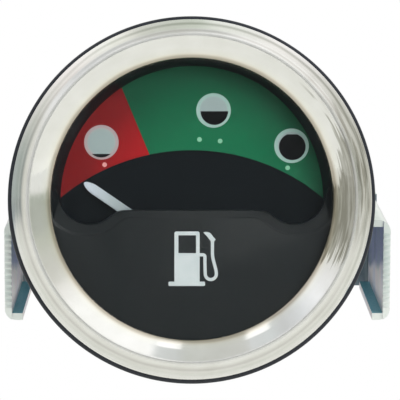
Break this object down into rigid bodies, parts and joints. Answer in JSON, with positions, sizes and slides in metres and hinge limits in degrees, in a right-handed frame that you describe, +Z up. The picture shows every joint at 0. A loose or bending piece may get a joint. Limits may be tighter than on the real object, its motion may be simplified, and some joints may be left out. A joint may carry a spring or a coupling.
{
  "type": "fuel gauge",
  "caption": "Round panel fuel gauge with a chrome bezel, red and green arc window, masked pointer, steel case and clamp bracket.",
  "frame": {"origin": "on the gauge's axis, at the plane where the gasket seats on the panel's front face", "axes": "+Y along the axis from the dial to the back of the case, +Z up the dial, +X to the right as seen from the front"},
  "size_m": [0.0661, 0.0585, 0.0618],
  "materials": {
    "chrome": "polished",
    "glass": "clear",
    "rubber": "satin",
    "plated_steel": "bright zinc plated",
    "black_plastic": "fine matt",
    "dial_black": "matt print",
    "white_print": "matt print",
    "pale_print": "matt print",
    "dark_print": "matt print",
    "red_window": "translucent red",
    "green_window": "translucent green",
    "opal_plastic": "opal",
    "white_paint": "matt white",
    "zinc": "bright zinc plated",
    "passivated_zinc": "blue zinc passivate",
    "brass": "plain",
    "magnet": "sintered",
    "bobbin_plastic": "moulded",
    "copper_wire": "enamelled copper wire",
    "insulator": "phenolic paper board",
    "resistor": "matt ceramic",
    "bulb_glass": "clear"
  },
  "bodies": {
    "case": {"bezel": "chrome", "glass": "glass", "glass_seal": "rubber", "gasket": "rubber", "case": "plated_steel", "mask": "black_plastic", "pump_symbol": "white_print", "dial_plate": "dial_black", "red_window": "red_window", "green_window": "green_window", "level_marks": "pale_print", "level_fills": "dark_print", "scale_dots": "white_print", "diffuser": "opal_plastic", "dial_screws": "zinc", "stop_pins": "zinc", "front_bush": "brass", "rear_bush": "brass", "bobbin_front": "bobbin_plastic", "bobbin_rear": "bobbin_plastic", "inner_coil": "copper_wire", "outer_coil": "copper_wire", "return_magnet": "magnet", "shield_can": "zinc", "movement_frame": "bobbin_plastic", "movement_screws": "zinc", "studs": "zinc", "stud_nuts": "zinc", "insulator_outer": "insulator", "insulator_inner": "insulator", "terminal_blades": "brass", "terminal_rivets": "brass", "range_resistor": "resistor", "earth_blade": "brass", "earth_rivet": "brass"},
    "pointer": {"pointer": "white_paint", "pointer_hub": "brass", "counterweight": "zinc", "spindle": "zinc", "rotor_magnet": "magnet"},
    "clamp": {"washers": "zinc", "spring_washers": "zinc"},
    "bracket": {"bracket": "passivated_zinc"},
    "nut_left": {"thumb_nut_left": "brass"},
    "nut_right": {"thumb_nut_right": "brass"},
    "lamp": {"lamp_holder": "plated_steel", "lamp_insulator": "insulator", "lamp_blade": "brass", "bulb_base": "brass", "bulb_glass": "bulb_glass"}
  },
  "joints": [
    {"name": "pointer_sweep", "type": "hinge", "parent": "case", "child": "pointer", "pos_m": [0, -0.0024, -0.0095], "axis": [0, 1, 0], "range_deg": [0, 111.4], "stiffness_Nm_per_rad": 0.000004, "springref_deg": -11.46},
    {"name": "nut_left_turn", "type": "hinge", "parent": "clamp", "child": "nut_left", "pos_m": [-0.015, 0.0455, -0.0062], "axis": [0, -1, 0], "range_deg": [0, 2571.5]},
    {"name": "nut_right_turn", "type": "hinge", "parent": "clamp", "child": "nut_right", "pos_m": [0.015, 0.0455, -0.0062], "axis": [0, -1, 0], "range_deg": [0, 2571.5]},
    {"name": "clamp_travel", "type": "slide", "parent": "case", "child": "clamp", "axis": [0, -1, 0], "range_m": [0, 0.005]},
    {"name": "bracket_tilt", "type": "hinge", "parent": "clamp", "child": "bracket", "pos_m": [0, 0.0395, -0.0062], "axis": [-1, 0, 0], "range_deg": [0, 10]},
    {"name": "lamp_holder_pull", "type": "slide", "parent": "case", "child": "lamp", "axis": [0, 1, 0], "range_m": [0, 0.022]}
  ],
  "couplings": [
    {"joint": "nut_left_turn", "follows": "clamp_travel", "rad_per_m": 8976},
    {"joint": "nut_right_turn", "follows": "clamp_travel", "rad_per_m": 8976}
  ]
}
